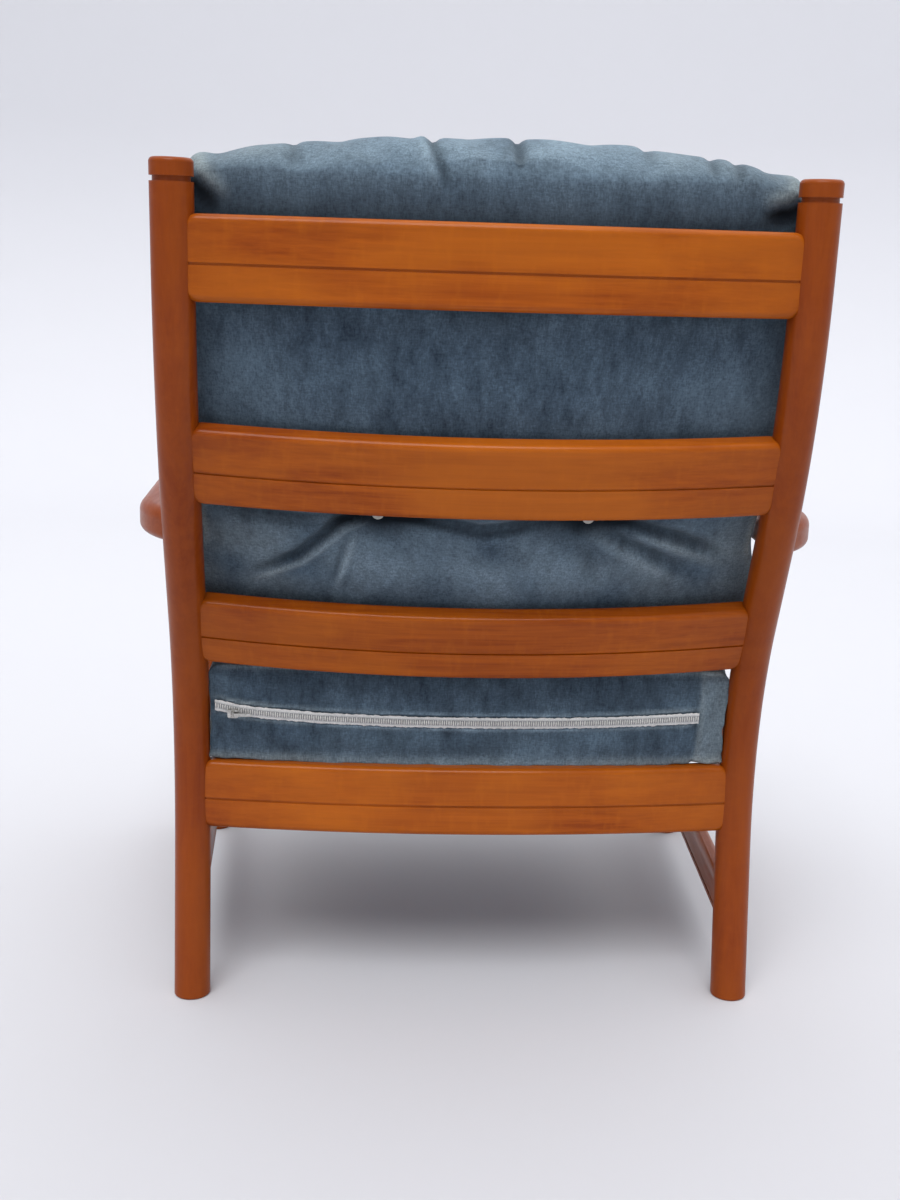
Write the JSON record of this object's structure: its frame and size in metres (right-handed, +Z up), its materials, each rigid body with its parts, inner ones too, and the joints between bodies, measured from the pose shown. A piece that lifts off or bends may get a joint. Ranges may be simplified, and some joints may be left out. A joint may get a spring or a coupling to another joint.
{
  "type": "lounge chair",
  "caption": "Wooden easy chair with round bent rear posts, a bowed ladder back, flat arms and loose velour seat and back cushions.",
  "frame": {"origin": "on the floor, under the middle of the chair's box", "axes": "+Z up, the chair faces -Y, +X is the sitter's left"},
  "size_m": [0.7268, 0.7427, 0.8522],
  "materials": {
    "stained_wood": "satin lacquer over an orange-brown stain",
    "dowel_wood": "raw",
    "block_wood": "raw",
    "screw_steel": "zinc plated",
    "clip_steel": "plain",
    "webbing_rubber": "textile faced",
    "velour": "worn pile",
    "foam": "open cell",
    "filling": "fibre",
    "zip_tape": "woven",
    "zip_nylon": "satin",
    "zip_metal": "dulled",
    "tie_plastic": "satin",
    "cord": "twisted"
  },
  "bodies": {
    "frame": {"rear_post_left": "stained_wood", "rear_post_right": "stained_wood", "front_leg_left": "stained_wood", "front_leg_right": "stained_wood", "arm_left": "stained_wood", "arm_right": "stained_wood", "side_rail_left": "stained_wood", "side_rail_right": "stained_wood", "stretcher_left": "stained_wood", "stretcher_right": "stained_wood", "top_slat": "stained_wood", "middle_slat": "stained_wood", "lower_slat": "stained_wood", "rear_rail": "stained_wood", "front_rail": "stained_wood", "side_rail_dowels": "dowel_wood", "front_rail_dowels": "dowel_wood", "stretcher_dowels": "dowel_wood", "arm_dowels": "dowel_wood", "corner_blocks": "block_wood", "corner_screws": "screw_steel", "webbing_straps": "webbing_rubber", "webbing_clips": "clip_steel"},
    "seat_cushion": {"seat_cover": "velour", "seat_foam": "foam", "zip_tape": "zip_tape", "zip_coil": "zip_nylon"},
    "back_cushion": {"back_cover": "velour", "back_filling": "filling", "back_buttons": "velour", "tuft_ties": "tie_plastic", "tuft_cords": "cord"},
    "zip_slider": {"zip_slider": "zip_metal"},
    "zip_pull": {"zip_pull": "zip_metal"}
  },
  "joints": [
    {"name": "seat_cushion_out", "type": "slide", "parent": "frame", "child": "seat_cushion", "axis": [0, -0.9869, 0.1616], "range_m": [0, 0.62]},
    {"name": "back_cushion_out", "type": "slide", "parent": "frame", "child": "back_cushion", "axis": [0, 0, 1], "range_m": [0, 0.55]},
    {"name": "zip_run", "type": "slide", "parent": "seat_cushion", "child": "zip_slider", "axis": [-1, 0, 0], "range_m": [0, 0.42]},
    {"name": "pull_swing", "type": "hinge", "parent": "zip_slider", "child": "zip_pull", "pos_m": [0.2425, 0.18183, 0.30102], "axis": [0, -0.1616, -0.9869], "range_deg": [0, 100]}
  ]
}
